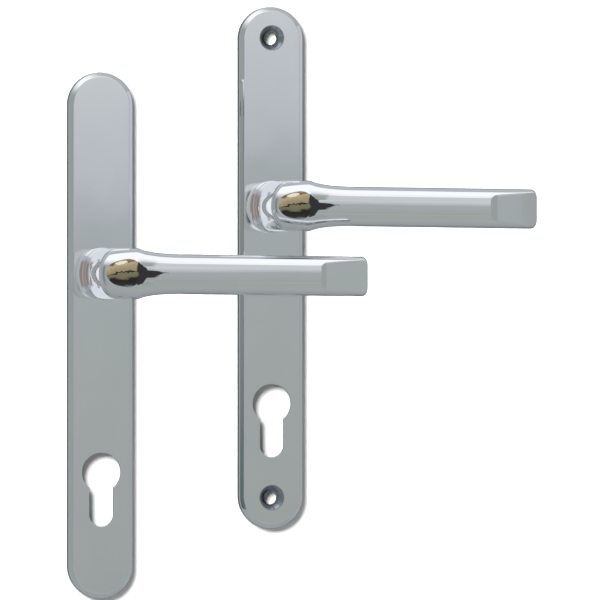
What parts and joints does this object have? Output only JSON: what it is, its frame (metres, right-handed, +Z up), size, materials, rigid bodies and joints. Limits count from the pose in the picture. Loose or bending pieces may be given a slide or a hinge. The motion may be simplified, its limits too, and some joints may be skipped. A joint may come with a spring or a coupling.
{
  "type": "lever door handle set",
  "caption": "Pair of sprung lever door handles on long round-ended chrome backplates with euro-profile cylinder cut-outs, inside and outside halves.",
  "frame": {"origin": "the inside half's spindle axis, on the plane of the back of its plate, which is the door's face", "axes": "+Z up the plates, -Y out of the plates' faces towards the person holding the lever, +X the way both levers point"},
  "size_m": [0.2158, 0.0743, 0.2755],
  "materials": {
    "chrome": "polished chrome plate on die-cast zinc",
    "zinc": "bright zinc plate",
    "spring_steel": "oiled spring steel",
    "nylon": "moulded nylon"
  },
  "bodies": {
    "plates": {"inside_backplate": "chrome", "inside_bearing_bush": "nylon", "inside_spring_sleeve": "nylon", "inside_return_spring": "spring_steel", "inside_spring_cover": "zinc", "inside_cover_screw_upper": "zinc", "inside_cover_screw_lower": "zinc", "outside_backplate": "chrome", "outside_bearing_bush": "nylon", "outside_spring_sleeve": "nylon", "outside_return_spring": "spring_steel", "outside_spring_cover": "zinc", "outside_cover_screw_upper": "zinc", "outside_cover_screw_lower": "zinc", "outside_lug_upper": "zinc", "outside_lug_lower": "zinc"},
    "inside_lever_body": {"inside_lever": "chrome", "inside_grub_screw": "zinc", "inside_follower": "zinc", "inside_circlip": "spring_steel"},
    "outside_lever_body": {"outside_lever": "chrome", "outside_grub_screw": "zinc", "outside_follower": "zinc", "outside_circlip": "spring_steel"}
  },
  "joints": [
    {"name": "inside_lever_turn", "type": "hinge", "parent": "plates", "child": "inside_lever_body", "pos_m": [0, 0, 0], "axis": [0, 1, 0], "range_deg": [-45, 45], "stiffness_Nm_per_rad": 1.4, "springref_deg": -4.58, "deforming": ["inside_return_spring"]},
    {"name": "outside_lever_turn", "type": "hinge", "parent": "plates", "child": "outside_lever_body", "pos_m": [-0.0842, -0.018, -0.0315], "axis": [0, 1, 0], "range_deg": [-45, 45], "stiffness_Nm_per_rad": 1.4, "springref_deg": -4.58, "deforming": ["outside_return_spring"]}
  ]
}
